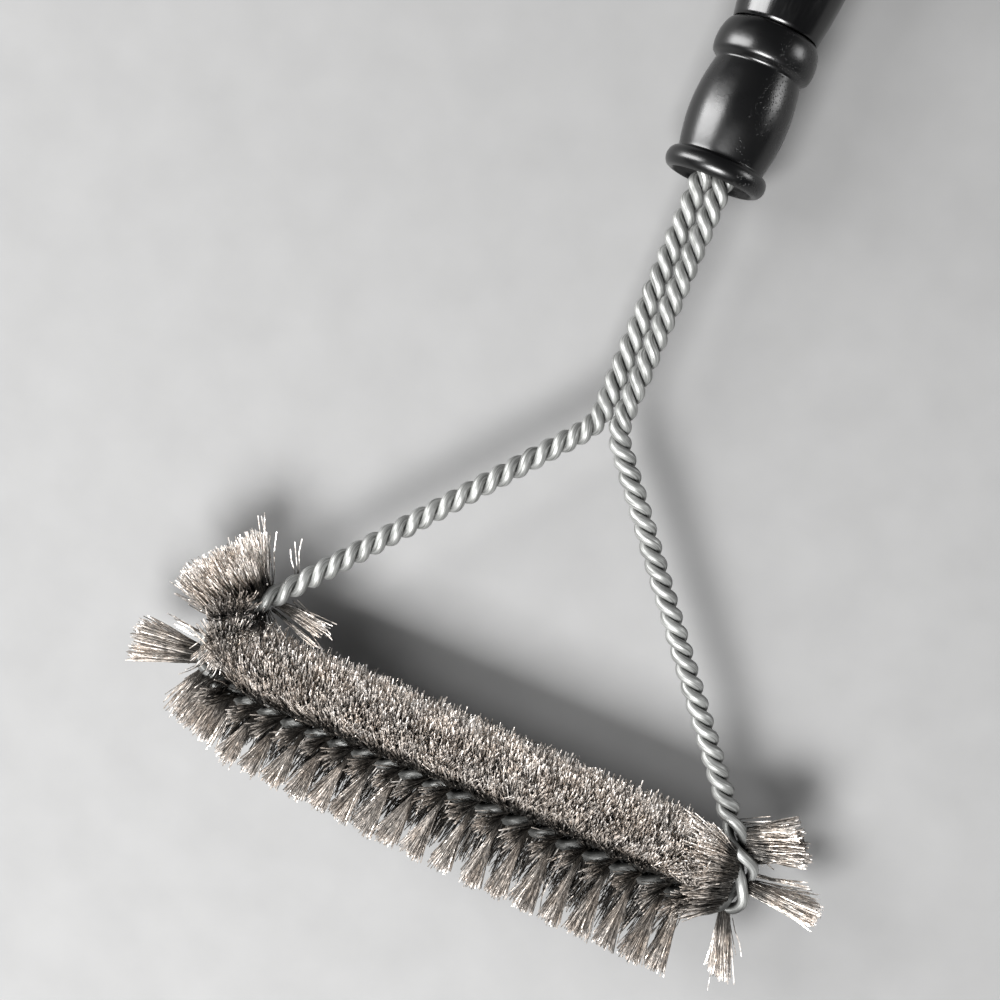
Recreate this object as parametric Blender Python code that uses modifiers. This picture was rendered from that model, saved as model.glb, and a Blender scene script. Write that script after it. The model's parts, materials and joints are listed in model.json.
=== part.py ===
"""Three-sided twisted-wire grill brush, in metres, +Z up, lying as it would on a table.

The brush is laid out flat: the fork where the two stems part is the origin of the layout,
+Y runs up the stems to the handle, X runs along the crossbar, and Z is the thickness.
One empty then tips the whole layout, so that the bristles and the grip both touch Z = 0.
"""

import math

import bmesh
import bpy
from mathutils import Matrix, Vector

MM = 0.001

# Wire: two strands laid round each other, then bent into stems, arms and crossbar.
STRAND_RADIUS = 1.3 * MM
LAY_RADIUS = 1.72 * MM
LOBE = 4.8 * MM
CORE_LOBE = 7.5 * MM
CORE_START_Y = -86 * MM
LAY_STEP = math.pi / 3
LINE_STEP = 0.3 * MM
STEM_X = 3.15 * MM
STEM_END_Y = 108 * MM
FORK_Y = -3.6 * MM
CORNER_X = 87.4 * MM
CORE_Y = -106.3 * MM
FORK_BEND = 12 * MM
CORNER_BEND = 8.2 * MM

# Bristles: one clump for each half turn of the core, and fans round the corners.
TUFTS = 17
TUFT_GAP = 0.3 * MM
TUFT_PITCH = CORE_LOBE
WIRE_CLEARANCE = 3.6 * MM
BRISTLE_LENGTH = 21 * MM
BED_SIDES = 12
BED_SHIFT = -1.4 * MM
BED_HALF_DEPTH = 20.3 * MM
UNDER_LENGTH = 20.5 * MM
FAN_HALF_THICKNESS = 15 * MM
FAN_SKIN = 0.8 * MM
FAN_STEPS = 8
ARM_BED_LENGTH = 17 * MM
ARM_BED_LEAN = 2 * MM
ARM_BED_SHOULDER = 6 * MM

# Handle, measured along its axis from the lip's front face.
HANDLE_Y = 63.5 * MM
TURN_STEPS = 24
CORE_PLUG_RADIUS = 8.4 * MM
CORE_PLUG_START = 15 * MM
CORE_PLUG_END = 60 * MM
SHELL_BORE = 8.7 * MM
SLOT_RADIUS = 3.42 * MM
FERRULE_WALL = 0.8 * MM
FERRULE_START = 4.5 * MM
FERRULE_END = 14.5 * MM
GRIP_RADIUS = 14.8 * MM
GRIP_REST = 98 * MM
SPIGOT_START = 100 * MM
CAP_START = 116.3 * MM

# Hanging eye and its ring.
EYE_ALONG = 125 * MM
EYE_RADIUS = 6.5 * MM
EYE_HOLE = 2.5 * MM
EYE_HALF_WIDTH = 2.5 * MM
EYE_ROOT = 7 * MM
EYE_STEPS = 8
RING_RADIUS = 13 * MM
RING_WIRE = 1.25 * MM
RING_FLOOR_GAP = 0.3 * MM
RING_STEPS = 28

# Resting pose: the near edge of the bristles' flat underside and the grip both touch the table.
BED_EDGE_Y = CORE_Y + BED_SHIFT + BED_HALF_DEPTH * math.sin(math.pi / BED_SIDES)
TIP_ANGLE = math.atan2(UNDER_LENGTH - GRIP_RADIUS, HANDLE_Y + GRIP_REST - BED_EDGE_Y)
LAYOUT_HEIGHT = GRIP_RADIUS * math.cos(TIP_ANGLE) + (HANDLE_Y + GRIP_REST) * math.sin(TIP_ANGLE)
LAYOUT_Y = -42.4 * MM
EYE_Y = HANDLE_Y + EYE_ALONG
EYE_HEIGHT = LAYOUT_HEIGHT - EYE_Y * math.sin(TIP_ANGLE)
RING_DROP = math.asin((EYE_HEIGHT - RING_WIRE - RING_FLOOR_GAP) / (2 * RING_RADIUS)) - TIP_ANGLE


def clear_scene():
    for thing in list(bpy.data.objects):
        bpy.data.objects.remove(thing, do_unlink=True)


def new_collection(name):
    collection = bpy.data.collections.new(name)
    bpy.context.scene.collection.children.link(collection)
    return collection


clear_scene()
BRUSH = new_collection("grill_brush")
CUTTERS = new_collection("cutters")


def new_empty(name, place, parent=None):
    empty = bpy.data.objects.new(name, None)
    BRUSH.objects.link(empty)
    empty.location = place
    empty.parent = parent
    return empty


LAYOUT = new_empty("brush_layout", (0, LAYOUT_Y, LAYOUT_HEIGHT))
LAYOUT.rotation_euler.x = -TIP_ANGLE
HANDLE = new_empty("handle_axis", (0, HANDLE_Y, 0), LAYOUT)
RING_HINGE = new_empty("ring_hinge", (0, EYE_ALONG, 0), HANDLE)
RING_HINGE.rotation_euler.x = -RING_DROP

# Turns a curve drawn in XY and extruded along Z so that it is extruded along X or along Y.
ALONG_X = Matrix(((0, 0, 1), (1, 0, 0), (0, 1, 0))).to_euler()
ALONG_Y = Matrix(((1, 0, 0), (0, 0, -1), (0, 1, 0))).to_euler()


def new_material(name, colour, roughness, metallic):
    material = bpy.data.materials.new(name)
    material.use_nodes = True
    shader = material.node_tree.nodes["Principled BSDF"]
    shader.inputs["Base Color"].default_value = (*colour, 1)
    shader.inputs["Roughness"].default_value = roughness
    shader.inputs["Metallic"].default_value = metallic
    return material


def finish(part, parent, colour, roughness, metallic):
    """Gives a part its own material and hangs it under its parent."""
    part.data.materials.append(new_material(part.name, colour, roughness, metallic))
    part.parent = parent
    return part


def finish_wire(part):
    return finish(part, LAYOUT, (0.55, 0.55, 0.54), 0.35, 1.0)


def finish_bristles(part):
    return finish(part, LAYOUT, (0.42, 0.36, 0.32), 0.5, 0.8)


def finish_plastic(part, roughness=0.4, parent=HANDLE):
    return finish(part, parent, (0.02, 0.02, 0.022), roughness, 0.0)


def poly_spline(curve, points, cyclic):
    spline = curve.splines.new("POLY")
    spline.points.add(len(points) - 1)
    for target, point in zip(spline.points, points):
        target.co = (*Vector(point).to_3d(), 1)
    spline.use_cyclic_u = cyclic


def new_tube(name, points, radius, resolution, collection=BRUSH):
    curve = bpy.data.curves.new(name, "CURVE")
    curve.dimensions = "3D"
    curve.bevel_depth = radius
    curve.bevel_resolution = resolution
    curve.use_fill_caps = True
    poly_spline(curve, points, False)
    tube = bpy.data.objects.new(name, curve)
    collection.objects.link(tube)
    return tube


def new_plate(name, outlines, half_thickness, collection=BRUSH):
    """A flat outline with its holes, as thick as asked, centred on its own plane."""
    curve = bpy.data.curves.new(name, "CURVE")
    curve.dimensions = "2D"
    curve.fill_mode = "BOTH"
    curve.extrude = half_thickness
    for outline in outlines:
        poly_spline(curve, outline, True)
    plate = bpy.data.objects.new(name, curve)
    collection.objects.link(plate)
    return plate


def to_mesh(part):
    """Replaces a curve by the closed mesh of what it draws, in the same place."""
    bpy.context.view_layer.update()
    graph = bpy.context.evaluated_depsgraph_get()
    mesh = bpy.data.meshes.new_from_object(part.evaluated_get(graph))
    solid = bmesh.new()
    solid.from_mesh(mesh)
    bmesh.ops.remove_doubles(solid, verts=solid.verts, dist=0.001 * MM)
    bmesh.ops.recalc_face_normals(solid, faces=solid.faces)
    solid.to_mesh(mesh)
    solid.free()
    name = part.name
    collection = part.users_collection[0]
    matrix = part.matrix_world.copy()
    bpy.data.objects.remove(part)
    made = bpy.data.objects.new(name, mesh)
    made.matrix_world = matrix
    collection.objects.link(made)
    return made


def new_turned(name, profile, closed):
    """Turns a profile of (radius, distance along) points round the local Y axis."""
    mesh = bpy.data.meshes.new(name)
    solid = bmesh.new()
    marks = [solid.verts.new((radius, along, 0)) for radius, along in profile]
    for first, second in zip(marks, marks[1:]):
        solid.edges.new((first, second))
    if closed:
        solid.edges.new((marks[-1], marks[0]))
    solid.to_mesh(mesh)
    solid.free()
    part = bpy.data.objects.new(name, mesh)
    BRUSH.objects.link(part)
    turn = part.modifiers.new("turn", "SCREW")
    turn.axis = "Y"
    turn.steps = TURN_STEPS
    turn.render_steps = TURN_STEPS
    turn.use_merge_vertices = True
    turn.merge_threshold = 0.01 * MM
    return part


def combine(part, other, operation):
    other.hide_render = True
    other.display_type = "WIRE"
    modifier = part.modifiers.new(other.name, "BOOLEAN")
    modifier.operation = operation
    modifier.object = other
    modifier.solver = "EXACT"


def circle(radius, count, centre=(0, 0)):
    turn = 2 * math.pi / count
    return [
        (centre[0] + radius * math.cos(turn * i), centre[1] + radius * math.sin(turn * i))
        for i in range(count)
    ]


def stadium(radius, half_span, count=6):
    """Two half circles whose centres stand half_span either side of the middle, along X."""
    outline = []
    for side in (1, -1):
        for i in range(count + 1):
            angle = side * (-math.pi / 2) + math.pi * i / count
            outline.append((side * half_span + radius * math.cos(angle), radius * math.sin(angle)))
    return outline


# Wire


def straight(first, last):
    count = max(1, round((last - first).length / LINE_STEP))
    return [first.lerp(last, i / count) for i in range(count)]


def bend(centre, first, last):
    spoke = first - centre
    end = last - centre
    turn = math.copysign(spoke.angle(end), spoke.cross(end).z)
    count = max(2, round(abs(turn) * spoke.length / LINE_STEP))
    return [centre + Matrix.Rotation(turn * i / count, 3, "Z") @ spoke for i in range(count)]


def centre_line():
    """The wire's middle, from the left stem's end round the head to the right stem's end."""
    marks = [
        Vector((-STEM_X, STEM_END_Y, 0)),
        Vector((-STEM_X, FORK_Y, 0)),
        Vector((-CORNER_X, CORE_Y, 0)),
        Vector((CORNER_X, CORE_Y, 0)),
        Vector((STEM_X, FORK_Y, 0)),
        Vector((STEM_X, STEM_END_Y, 0)),
    ]
    line = []
    start = marks[0]
    radii = (FORK_BEND, CORNER_BEND, CORNER_BEND, FORK_BEND)
    for before, corner, after, radius in zip(marks, marks[1:], marks[2:], radii):
        back = (before - corner).normalized()
        away = (after - corner).normalized()
        half = back.angle(away) / 2
        centre = corner + (back + away).normalized() * (radius / math.sin(half))
        first = corner + back * (radius / math.tan(half))
        last = corner + away * (radius / math.tan(half))
        line += straight(start, first) + bend(centre, first, last)
        start = last
    return line + straight(start, marks[-1]) + [marks[-1]]


def lobe_at(point):
    """Half a turn of the lay is longer where the strands hold bristles between them."""
    return CORE_LOBE if point.y < CORE_START_Y else LOBE


def strand_line(phase):
    """One strand's middle: a left-handed helix round the centre line."""
    line = centre_line()
    points = []
    turned = 0
    wanted = 0
    for here, ahead in zip(line, line[1:]):
        along = ahead - here
        if turned >= wanted:
            side = Vector((-along.y, along.x, 0)).normalized()
            lift = Vector((0, 0, 1))
            angle = phase - turned
            points.append(here + LAY_RADIUS * (math.cos(angle) * side + math.sin(angle) * lift))
            wanted += LAY_STEP
        turned += math.pi * along.length / lobe_at(here)
    return points


def make_strands():
    finish_wire(new_tube("wire_strand_a", strand_line(0), STRAND_RADIUS, 1))
    finish_wire(new_tube("wire_strand_b", strand_line(math.pi), STRAND_RADIUS, 1))


# Bristles


def tuft_outline():
    """Cross-section of the bristle bed, square to the core: (towards the handle, up)."""
    half_height = UNDER_LENGTH / math.cos(math.pi / BED_SIDES)
    outline = []
    for i in range(BED_SIDES):
        angle = 2 * math.pi * (i + 0.5) / BED_SIDES
        y = BED_SHIFT + BED_HALF_DEPTH * math.cos(angle)
        outline.append((y, half_height * math.sin(angle)))
    return outline


def make_crossbar_tufts():
    outlines = [tuft_outline(), circle(WIRE_CLEARANCE, 8)]
    for i in range(TUFTS):
        tuft = new_plate(f"bristle_tuft_{i + 1:02d}", outlines, (TUFT_PITCH - TUFT_GAP) / 2)
        tuft.location = ((i - (TUFTS - 1) / 2) * TUFT_PITCH, CORE_Y, 0)
        tuft.rotation_euler = ALONG_X
        finish_bristles(tuft)


def corner_frame():
    """The right corner's bend centre, the arm's outward normal and the arm's direction."""
    arm = Vector((CORNER_X - STEM_X, CORE_Y - FORK_Y, 0)).normalized()
    outward = Vector((-arm.y, arm.x, 0))
    half = arm.angle(Vector((1, 0, 0))) / 2
    reach = CORNER_BEND / math.tan(half)
    centre = Vector((CORNER_X - reach, CORE_Y + CORNER_BEND, 0))
    return centre, outward, arm


def corner_outline():
    """A fan about the bend's centre, from the crossbar's last clump round to the arm."""
    centre, outward, arm = corner_frame()
    radius = CORNER_BEND + BRISTLE_LENGTH
    sweep = math.pi / 2 + math.atan2(outward.y, outward.x)
    fan = []
    for i in range(FAN_STEPS + 1):
        angle = -math.pi / 2 + sweep * i / FAN_STEPS
        fan.append(centre + radius * Vector((math.cos(angle), math.sin(angle), 0)))
    inner = centre + outward * (CORNER_BEND - WIRE_CLEARANCE - FAN_SKIN)
    start_x = TUFTS * TUFT_PITCH / 2 + TUFT_GAP
    low = Vector((start_x, fan[0].y, 0))
    high = Vector((start_x, inner.y, 0))
    return [low, *fan, inner, high]


def arm_outline():
    """The bristles on the arm's last stretch, leaning out past its end."""
    centre, outward, arm = corner_frame()
    end = centre + outward * CORNER_BEND - arm * TUFT_GAP
    start = end - arm * ARM_BED_LENGTH
    inside = -outward * (WIRE_CLEARANCE + FAN_SKIN)
    return [
        end + inside,
        end + outward * BRISTLE_LENGTH,
        start + outward * BRISTLE_LENGTH - arm * ARM_BED_LEAN,
        start + outward * BRISTLE_LENGTH * 0.6 - arm * ARM_BED_SHOULDER,
        start + inside,
    ]


def mirrored(outline):
    return [Vector((-point.x, point.y, 0)) for point in reversed(outline)]


def make_corner_fans():
    tube = new_tube("wire_clearance", centre_line()[::8], WIRE_CLEARANCE, 2, CUTTERS)
    tube = to_mesh(tube)
    tube.parent = LAYOUT
    outlines = {
        "right_corner_bristles": corner_outline(),
        "right_arm_bristles": arm_outline(),
        "left_corner_bristles": mirrored(corner_outline()),
        "left_arm_bristles": mirrored(arm_outline()),
    }
    for name, outline in outlines.items():
        fan = to_mesh(new_plate(name, [outline], FAN_HALF_THICKNESS))
        combine(fan, tube, "DIFFERENCE")
        finish_bristles(fan)


# Handle


def make_nose():
    """Lip ring, barrel and bead in one moulding, with a recess round the stems."""
    lip = [(11.2, 0.0), (12.6, 1.0), (13.3, 2.8), (12.7, 4.6), (11.4, 5.5)]
    barrel = [(11.2, 6.0), (12.0, 9.5), (12.6, 14.0), (12.7, 18.0), (12.4, 22.5), (11.2, 29.3)]
    bead = [(11.6, 29.8), (13.0, 31.2), (13.1, 34.0), (12.6, 37.5), (11.2, 39.4)]
    bore = [(SHELL_BORE / MM, 39.4), (SHELL_BORE / MM, 4.0), (7.0, 4.0), (7.0, 1.6), (10.4, 1.6)]
    profile = [(radius * MM, along * MM) for radius, along in reversed(lip + barrel + bead)]
    inner = [(radius * MM, along * MM) for radius, along in reversed(bore)]
    return finish_plastic(new_turned("handle_nose", profile + inner, True), 0.42)


def make_grip():
    flare = [(11.2, 39.8), (12.2, 45.8), (13.1, 54.0), (14.2, 66.0), (14.8, 76.0)]
    swell = [(15.0, 86.0), (GRIP_RADIUS / MM, GRIP_REST / MM), (14.1, 110.0), (13.8, 116.0)]
    bore = [(SHELL_BORE / MM, 39.8), (SHELL_BORE / MM, 116.0)]
    outer = [(radius * MM, along * MM) for radius, along in reversed(flare + swell)]
    inner = [(radius * MM, along * MM) for radius, along in bore]
    return finish_plastic(new_turned("grip_sleeve", outer + inner, True), 0.25)


def make_stem_holders():
    """A steel ferrule round both stems in the nose, and behind it the plug that they are moulded into."""
    slot = stadium(SLOT_RADIUS, STEM_X)
    wall = stadium(SLOT_RADIUS + FERRULE_WALL, STEM_X)
    band = new_plate("stem_ferrule", [wall, slot], (FERRULE_END - FERRULE_START) / 2)
    band.rotation_euler = ALONG_Y
    band.location.y = (FERRULE_START + FERRULE_END) / 2
    finish(band, HANDLE, (0.5, 0.5, 0.5), 0.4, 1.0)
    rim = circle(CORE_PLUG_RADIUS, TURN_STEPS)
    plug = new_plate("handle_core", [rim, slot], (CORE_PLUG_END - CORE_PLUG_START) / 2)
    plug.rotation_euler = ALONG_Y
    plug.location.y = (CORE_PLUG_START + CORE_PLUG_END) / 2
    finish_plastic(plug, 0.6)


def make_cap():
    """Domed cap with a spigot inside the grip, and an eye for the hanging ring."""
    dome = [(13.8, 0), (13.6, 1.4), (12.4, 3.2), (10.0, 4.7), (6.5, 5.5), (0.0, 5.8)]
    profile = [(radius * MM, CAP_START + along * MM) for radius, along in reversed(dome)]
    profile += [(CORE_PLUG_RADIUS, CAP_START), (CORE_PLUG_RADIUS, SPIGOT_START), (0, SPIGOT_START)]
    cap = new_turned("butt_cap", profile, False)
    tail = [(EYE_ALONG - EYE_ROOT, -EYE_RADIUS)]
    for i in range(EYE_STEPS + 1):
        angle = -math.pi / 2 + math.pi * i / EYE_STEPS
        tail.append((EYE_ALONG + EYE_RADIUS * math.cos(angle), EYE_RADIUS * math.sin(angle)))
    tail.append((EYE_ALONG - EYE_ROOT, EYE_RADIUS))
    eye = new_plate("eye_plate", [tail], EYE_HALF_WIDTH, CUTTERS)
    hole = new_plate("eye_hole", [circle(EYE_HOLE, 12, (EYE_ALONG, 0))], 2 * EYE_HALF_WIDTH, CUTTERS)
    for cutter, operation in ((eye, "UNION"), (hole, "DIFFERENCE")):
        cutter.rotation_euler = ALONG_X
        solid = to_mesh(cutter)
        solid.parent = HANDLE
        combine(cap, solid, operation)
    return finish_plastic(cap, 0.35)


def make_ring():
    """A closed wire ring that hangs in the eye, its centre a ring's radius past the hinge."""
    points = [Vector((x, y, 0)) for x, y in circle(RING_RADIUS, RING_STEPS, (0, RING_RADIUS))]
    curve = bpy.data.curves.new("hang_ring", "CURVE")
    curve.dimensions = "3D"
    curve.bevel_depth = RING_WIRE
    curve.bevel_resolution = 2
    poly_spline(curve, points, True)
    ring = bpy.data.objects.new("hang_ring", curve)
    BRUSH.objects.link(ring)
    return finish(ring, RING_HINGE, (0.6, 0.6, 0.6), 0.25, 1.0)


make_strands()
make_crossbar_tufts()
make_corner_fans()
make_nose()
make_grip()
make_stem_holders()
make_cap()
make_ring()
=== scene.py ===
"""Looks of the three-sided twisted-wire grill brush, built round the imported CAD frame.

Shapes are worked out in the brush's own layout, in millimetres: the fork is the origin, +Y runs up
the stems to the handle, X runs along the crossbar and Z is the thickness. LAYOUT turns that into
the frame's metres.
"""

import json
import math

import bpy
import numpy as np
from mathutils import Matrix, Vector


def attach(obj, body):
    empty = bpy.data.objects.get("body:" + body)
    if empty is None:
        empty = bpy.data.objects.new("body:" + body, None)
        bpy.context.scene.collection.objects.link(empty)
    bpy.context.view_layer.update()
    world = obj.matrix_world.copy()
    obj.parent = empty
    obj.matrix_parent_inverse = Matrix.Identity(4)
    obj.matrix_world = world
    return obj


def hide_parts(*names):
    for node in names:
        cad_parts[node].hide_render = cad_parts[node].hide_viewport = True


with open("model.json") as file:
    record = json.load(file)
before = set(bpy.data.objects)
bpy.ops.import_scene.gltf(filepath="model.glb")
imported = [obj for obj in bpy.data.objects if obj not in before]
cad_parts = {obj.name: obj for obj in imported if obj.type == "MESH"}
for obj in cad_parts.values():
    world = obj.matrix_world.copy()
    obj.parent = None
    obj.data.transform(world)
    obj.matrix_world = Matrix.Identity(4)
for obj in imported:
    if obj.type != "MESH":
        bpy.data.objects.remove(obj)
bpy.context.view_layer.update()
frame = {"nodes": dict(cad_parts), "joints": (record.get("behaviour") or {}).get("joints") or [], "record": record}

MM = 0.001
RANDOM_SEED = 7

# The wire's route, as the CAD has it, with the stems a little closer and one lying over the other,
# and with each corner as loosely bent as on the real brush. The stems' lift comes in along the Y of
# LIFT_BEGINS and goes out along those of LIFT_ENDS.
CORE_Y = -106.3
UNDER_LENGTH = 20.5
STEM_X = 2.72
STEM_LIFT = 1.25
LIFT_BEGINS = (-12, 4)
LIFT_ENDS = (58, 68)
STEM_END_Y = 108.0
FORK_Y = -3.6
ROUTE = (
    ((-STEM_X, FORK_Y), 12.0),
    ((-86.0, CORE_Y), 10.0),
    ((79.0, -107.2), 4.5),
    ((79.0, -96.4), 6.0),
    ((STEM_X, FORK_Y), 12.0),
)
LINE_STEP = 0.15

# Grime and painted shade on the wire where it holds bristles: full below the first value of a
# pair, and none above the second. It is heaviest low on the right half of the crossbar. The open
# loop at the right corner is clean above that. The groove between the strands gets painted shade
# all along: the last pair holds the cosines of the angle to the other strand where that shade
# begins and is full.
CORE_SOOT_AND_SHADE = 0.54
LEFT_SOOT_AND_SHADE_Y = (-95, -82)
RIGHT_SOOT_AND_SHADE_Y = (-101, -95)
LOOP_X = (76.8, 78.8)
HEAVY_SOOT_AND_SHADE_Y = (-106, -103)
HEAVY_SOOT_AND_SHADE = 1.5
GROOVE_SHADE = (0.05, 0.85)

# Two strands laid round each other. Half turns are counted from the left stem: at a whole number
# the strands lie side by side, and half way between one of them is in front.
STRAND_RADIUS = 1.5
STRAND_SIDES = 16
LAY_STEP = math.pi / 11
LAY_MARKS = (
    ((-STEM_X, STEM_END_Y), -21.3),
    ((-STEM_X, 4.0), 0.0),
    ((-8.5, -10.6), 4.0),
    ((-58.2, -71.2), 20.5),
    ((-61.3, -75.8), 21.5),
    ((-64.6, -80.2), 22.5),
    ((-58.6, CORE_Y), 28.5),
    ((-3.8, CORE_Y), 36.5),
    ((4.0, CORE_Y), 37.5),
    ((65.6, -107.0), 45.5),
    ((79.0, -100.2), 47.5),
    ((75.4, -92.0), 48.5),
    ((69.0, -84.2), 49.5),
    ((10.3, -12.8), 69.0),
    ((STEM_X, 2.6), 73.0),
    ((STEM_X, STEM_END_Y), 95.0),
)
LAY_RADII = ((22.0, 1.5), (24.0, 1.6), (28.0, 1.6), (30.0, 1.85), (49.0, 1.85), (51.0, 1.5))
GRAIN_STRETCH = 0.06

# Bristles, in one clump for each half turn of the crossbar: the first clump's X and the pitch, on
# each side. The left clumps lean outward, and the fans get longer towards the right.
TUFTS = 17
LEFT_TUFTS = 9
LEFT_TUFT = (-58.6, 6.85)
RIGHT_TUFT = (4.0, 7.7)
LEFT_LEAN = -16
LEAN_ENDS = (-12, 14)
FAN_Y = -107.4
LEFT_FAN_SHADE = 0.68
RIGHT_FAN_SHADE = 0.5
FAN_LENGTHS = ((-58.0, -10.0, 60.0), (15.3, 18.2, 20.2))
BRISTLE_RADIUS = 0.15
BRISTLE_SPANS = 3
BOW = 0.03
CRIMP = 0.25
FLOOR_GAP = 0.9
ROOT_GAP = (0.4, 2.0)
# Near the core the bristles are darkened by dirt and painted shade: fully within the first distance in the head's
# plane, and not at all past the second.
GRIME_AND_SHADE_REACH = (2.6, 6.9)

# Neighbouring bristles lean together in small locks, which differ in lean, length and shade.
LOCKS_ALONG = 4
LOCKS_UP = 6
LOCKS = LOCKS_ALONG * LOCKS_UP
LOCK_LEAN = 0.8
LOCK_LENGTH = 0.35
LOCK_SHADES = (0.75, 1.25)


def layout_matrix():
    """From layout millimetres to frame metres, found from the mount under the bristles."""
    face = next(m for m in frame["record"]["mounts"] if m["name"] == "scrub_face")
    down = Vector(face["axis"])
    tip = math.atan2(down.y, down.z) + math.pi
    place = Matrix.Translation(face["pos_m"]) @ Matrix.Rotation(-tip, 4, "X")
    return place @ Matrix.Scale(MM, 4) @ Matrix.Translation((0, -CORE_Y, UNDER_LENGTH))


LAYOUT = layout_matrix()
TO_LAYOUT = np.array(LAYOUT.inverted())
TO_FRAME = np.array(LAYOUT)


def layout_box(node):
    """Lowest and highest corner of a CAD node, in layout millimetres."""
    points = np.array([vertex.co for vertex in frame["nodes"][node].data.vertices])
    points = points @ TO_LAYOUT[:3, :3].T + TO_LAYOUT[:3, 3]
    return points.min(0), points.max(0)


NOSE_BOX = layout_box("handle_nose")
GRIP_BOX = layout_box("grip_sleeve")
CAP_BOX = layout_box("butt_cap")
RING_BOX = layout_box("hang_ring")
HANDLE_Y = NOSE_BOX[0][1]
HINGE = TO_LAYOUT[:3, :3] @ frame["joints"][0]["pos_m"] + TO_LAYOUT[:3, 3]

# Handle. Its profiles are (radius, distance behind the lip).
NOSE_SIDES = 192
GRIP_SIDES = 160
CAP_SIDES = 128
AXIS_RADIUS = 0.02
SHELL_BORE = 8.7
LIP = ((11.2, 0.0), (12.3, 0.5), (13.1, 1.6), (13.3, 2.8), (13.0, 4.2), (12.2, 5.2), (11.3, 5.5))
BARREL = (
    (11.3, 5.9),
    (12.0, 9.5),
    (12.6, 14.0),
    (12.7, 18.0),
    (12.4, 22.5),
    (11.8, 26.3),
    (11.1, 29.4),
)
BEAD = (
    (11.6, 29.9),
    (12.7, 30.9),
    (13.1, 32.6),
    (13.1, 34.6),
    (12.7, 36.8),
    (12.0, 38.5),
    (11.2, 39.4),
)
NOSE_INSIDE = (
    (SHELL_BORE, 39.4),
    (SHELL_BORE, 4.0),
    (7.0, 4.0),
    (7.0, 1.9),
    (9.9, 1.7),
    (10.3, 1.2),
    (10.5, 0.5),
    (10.8, 0.1),
)
GRIP_END = GRIP_BOX[1][1] - HANDLE_Y
GRIP = (
    (11.2, 39.9),
    (12.2, 45.8),
    (13.1, 54.0),
    (14.2, 66.0),
    (14.8, 76.0),
    (14.92, 86.0),
    (14.8, 98.0),
    (14.1, 110.0),
    (13.9, 114.8),
    (13.6, GRIP_END - 0.3),
    (13.2, GRIP_END),
)
GRIP_INSIDE = ((SHELL_BORE, GRIP_END), (SHELL_BORE, 39.8), (10.9, 39.8))

# The cap's profiles are (radius, distance behind its front face).
CAP_START = 116.3
SPIGOT = ((AXIS_RADIUS, -16.3), (8.4, -16.3), (8.4, 0.0))
DOME = (
    (13.5, 0.0),
    (13.8, 0.35),
    (13.8, 1.0),
    (13.3, 2.3),
    (12.0, 3.6),
    (9.6, 4.8),
    (5.5, 5.6),
    (AXIS_RADIUS, 5.8),
)
FLASH_ANGLE = math.radians(82)
FLASH_HEIGHT = 0.1
FLASH_WIDTH = 0.018
OUTSIDE_RADIUS = 10.9
EYE_HOLE = 2.5
EYE_HALF_WIDTH = 2.5
EYE_ROOT = 7.0
EYE_CORNER = 0.7
EYE_STEPS = 64
CORNER_STEPS = 4
RING_STEPS = 96
RING_SIDES = 24
WELD_ANGLE = 0.035
WELD_SWELL = 0.16

BLACK = (0.0009, 0.0009, 0.001)

# Stage. Each light is (name, place, target, width and height in metres, watts). The lights' and the
# camera's places and targets are in the layout. The camera's roll is its up direction's angle from
# +Y, towards the left.
FLOOR_HALF = 3.0
LIGHTS = (
    ("left_softbox", (-1050, 80, 520), (0, 20, 10), 0.5, 1.1, 32.0),
    ("right_softbox", (1000, 560, 300), (0, 20, 10), 0.3, 0.45, 4.0),
    ("top_softbox", (-60, -640, 880), (0, -30, 0), 0.6, 0.5, 38.0),
)
SKY_COLOUR = (0.92, 0.95, 1.0, 1)
SKY_STRENGTH = 0.11
CAMERA_PLACE = (1.6, 11.0, 386.4)
CAMERA_TARGET = (-18.29, -31.39, 0.0)
CAMERA_ROLL = math.radians(22.61)
CAMERA_LENS = 54.0

# Materials


def new_material(name):
    """A material with its Principled shader, and a function that adds a node to it."""
    material = bpy.data.materials.new(name)
    material.use_nodes = True
    tree = material.node_tree

    def add(kind, **settings):
        node = tree.nodes.new(kind)
        for key, value in settings.items():
            if key in node.inputs:
                node.inputs[key].default_value = value
            else:
                setattr(node, key, value)
        return node

    return material, tree.nodes["Principled BSDF"], add, tree.links.new


def ramp(add, link, source, stops):
    """A colour ramp of (position, grey or colour) stops, read from a source socket."""
    node = add("ShaderNodeValToRGB")
    elements = node.color_ramp.elements
    while len(elements) < len(stops):
        elements.new(0.5)
    for element, (position, value) in zip(elements, stops):
        element.position = position
        element.color = (*value, 1) if isinstance(value, tuple) else (value, value, value, 1)
    link(source, node.inputs["Fac"])
    return node.outputs["Color"]


def multiply(add, link, first, second):
    """The product of two colour sockets."""
    node = add("ShaderNodeMix", data_type="RGBA", blend_type="MULTIPLY")
    node.inputs["Factor"].default_value = 1
    link(first, node.inputs[6])
    link(second, node.inputs[7])
    return node.outputs[2]


def bump(add, link, shader, height, strength, distance):
    """Bumps the shader by a height socket. The distance is in millimetres."""
    node = add("ShaderNodeBump", Strength=strength, Distance=distance * MM)
    link(height, node.inputs["Height"])
    link(node.outputs["Normal"], shader.inputs["Normal"])
    return node


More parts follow.
